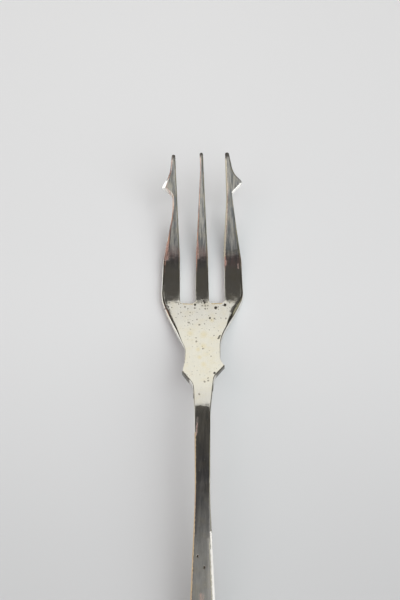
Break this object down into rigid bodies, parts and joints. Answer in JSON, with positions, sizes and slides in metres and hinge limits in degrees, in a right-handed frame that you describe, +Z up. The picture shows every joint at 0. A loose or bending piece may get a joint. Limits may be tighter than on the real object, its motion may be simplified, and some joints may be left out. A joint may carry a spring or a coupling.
{
  "type": "pickle fork",
  "caption": "Slim silver-plated serving fork with barbed outer tines, a shouldered bowl, small side lugs, a raised neck and a plain rounded handle.",
  "frame": {"origin": "centre of the bounding box's footprint, on the surface that the fork rests on", "axes": "+Y from the handle towards the tines, +Z up from the surface, +X to the right when looking along +Y from above"},
  "size_m": [0.0188, 0.2, 0.0116],
  "materials": {
    "silver_plate": "worn silver plate: polished, lightly scratched, with small dark pits and faint yellow stains"
  },
  "bodies": {
    "root": {"pickle_fork": "silver_plate"}
  },
  "joints": []
}
